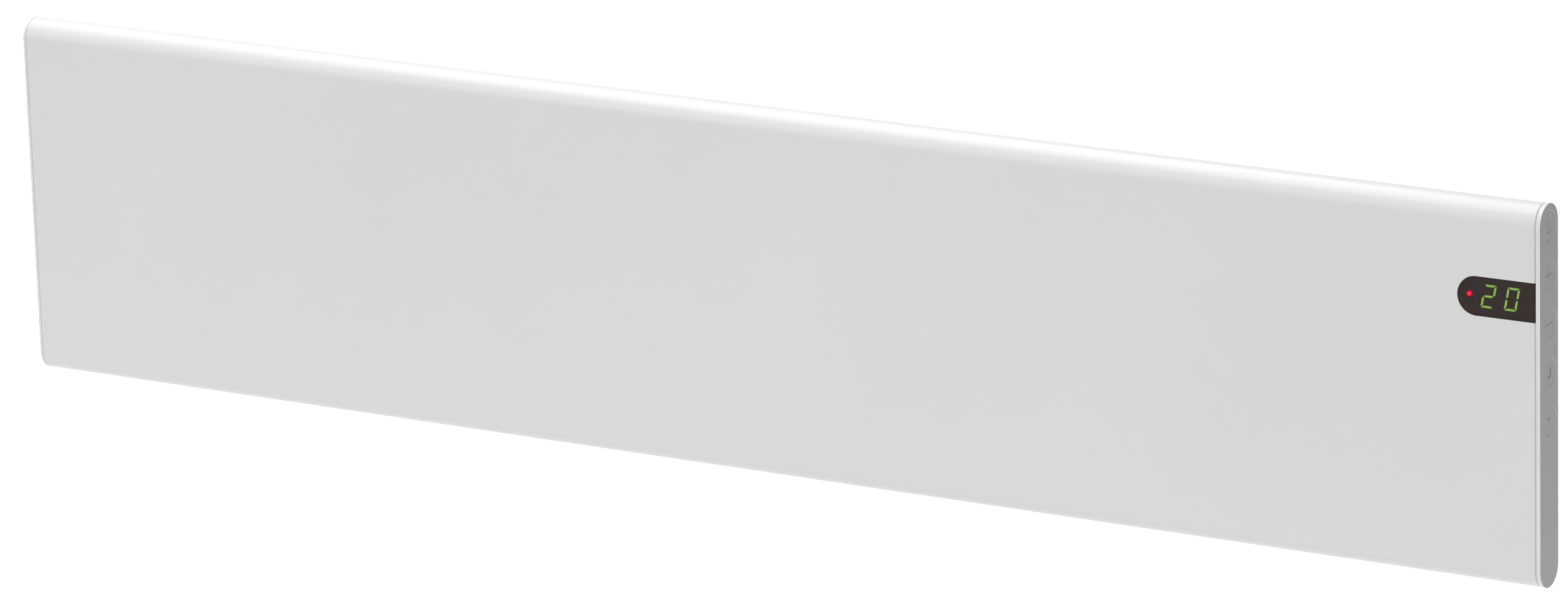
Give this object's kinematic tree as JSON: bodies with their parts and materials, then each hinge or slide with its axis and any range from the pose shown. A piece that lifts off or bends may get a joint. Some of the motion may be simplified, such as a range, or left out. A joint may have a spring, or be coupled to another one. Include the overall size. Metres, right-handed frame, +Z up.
{
  "type": "wall panel convector heater",
  "caption": "Low slim wall-hung panel convector heater with rolled top and bottom edges, a D-shaped display window and round buttons on its right end.",
  "frame": {"origin": "on the wall plane, at the centre of the four wall screws", "axes": "+X along the heater towards its control end, +Y into the wall, +Z up; the front faces -Y"},
  "size_m": [0.9134, 0.084, 0.2],
  "materials": {
    "painted_sheet": "satin white powder coat on steel sheet",
    "casing_sheet": "matt white powder coat on steel sheet",
    "zinc_sheet": "bright zinc-plated steel",
    "white_plastic": "fine satin white moulding",
    "grey_plastic": "fine satin grey moulding",
    "smoked_lens": "glossy smoked plastic",
    "black_plastic": "matt black moulding",
    "green_light": "lit green diffuser, emissive",
    "red_light": "lit red lens, emissive",
    "circuit_board": "green solder mask",
    "finned_aluminium": "plain extruded aluminium",
    "rod_steel": "heat-darkened steel",
    "ceramic_bush": "unglazed steatite",
    "rubber_ring": "matt black rubber",
    "lead_sheath": "silicone-sheathed wire",
    "fastener_steel": "zinc-plated steel",
    "brass_stud": "bright brass",
    "ivory_plastic": "ivory moulding"
  },
  "bodies": {
    "wall_bracket": {"left_bracket_arm": "zinc_sheet", "right_bracket_arm": "zinc_sheet", "bracket_rail": "zinc_sheet", "bracket_rivets": "fastener_steel"},
    "heater": {"front_panel": "painted_sheet", "rear_casing": "casing_sheet", "heat_shield": "zinc_sheet", "partition_wall": "zinc_sheet", "lead_grommets": "rubber_ring", "left_end_cap": "white_plastic", "right_end_cap": "white_plastic", "control_fascia": "grey_plastic", "control_board": "circuit_board", "button_switches": "black_plastic", "board_screws": "fastener_steel", "display_window": "smoked_lens", "display_module": "black_plastic", "lit_segments": "green_light", "dark_segments": "black_plastic", "status_led": "red_light", "display_holder": "black_plastic", "display_board": "circuit_board", "element_fins": "finned_aluminium", "heating_rod": "rod_steel", "element_bushes": "ceramic_bush", "element_holders": "zinc_sheet", "thermal_cutout": "fastener_steel", "power_board": "circuit_board", "power_board_posts": "fastener_steel", "power_board_screws": "fastener_steel", "power_relay": "black_plastic", "mains_capacitor": "black_plastic", "supply_transformer": "black_plastic", "terminal_block": "ivory_plastic", "earth_stud": "brass_stud", "air_sensor": "black_plastic", "gland_body": "black_plastic", "gland_nut": "black_plastic", "gland_cap": "black_plastic", "right_element_lead": "lead_sheath", "left_element_lead": "lead_sheath", "control_lead": "lead_sheath", "rear_casing_screws": "fastener_steel", "end_cap_screws": "fastener_steel"},
    "power_button": {"power_button": "grey_plastic"},
    "warmer_button": {"warmer_button": "grey_plastic"},
    "cooler_button": {"cooler_button": "grey_plastic"},
    "night_button": {"night_button": "grey_plastic"},
    "boost_button": {"boost_button": "grey_plastic"}
  },
  "joints": [
    {"name": "heater_lift", "type": "slide", "parent": "wall_bracket", "child": "heater", "axis": [0, 0, 1], "range_m": [0, 0.01]},
    {"name": "power_press", "type": "slide", "parent": "heater", "child": "power_button", "axis": [-1, 0, 0], "range_m": [0, 0.0008], "stiffness_N_per_m": 900},
    {"name": "warmer_press", "type": "slide", "parent": "heater", "child": "warmer_button", "axis": [-1, 0, 0], "range_m": [0, 0.0008], "stiffness_N_per_m": 900},
    {"name": "cooler_press", "type": "slide", "parent": "heater", "child": "cooler_button", "axis": [-1, 0, 0], "range_m": [0, 0.0008], "stiffness_N_per_m": 900},
    {"name": "night_press", "type": "slide", "parent": "heater", "child": "night_button", "axis": [-1, 0, 0], "range_m": [0, 0.0008], "stiffness_N_per_m": 900},
    {"name": "boost_press", "type": "slide", "parent": "heater", "child": "boost_button", "axis": [-1, 0, 0], "range_m": [0, 0.0008], "stiffness_N_per_m": 900}
  ]
}
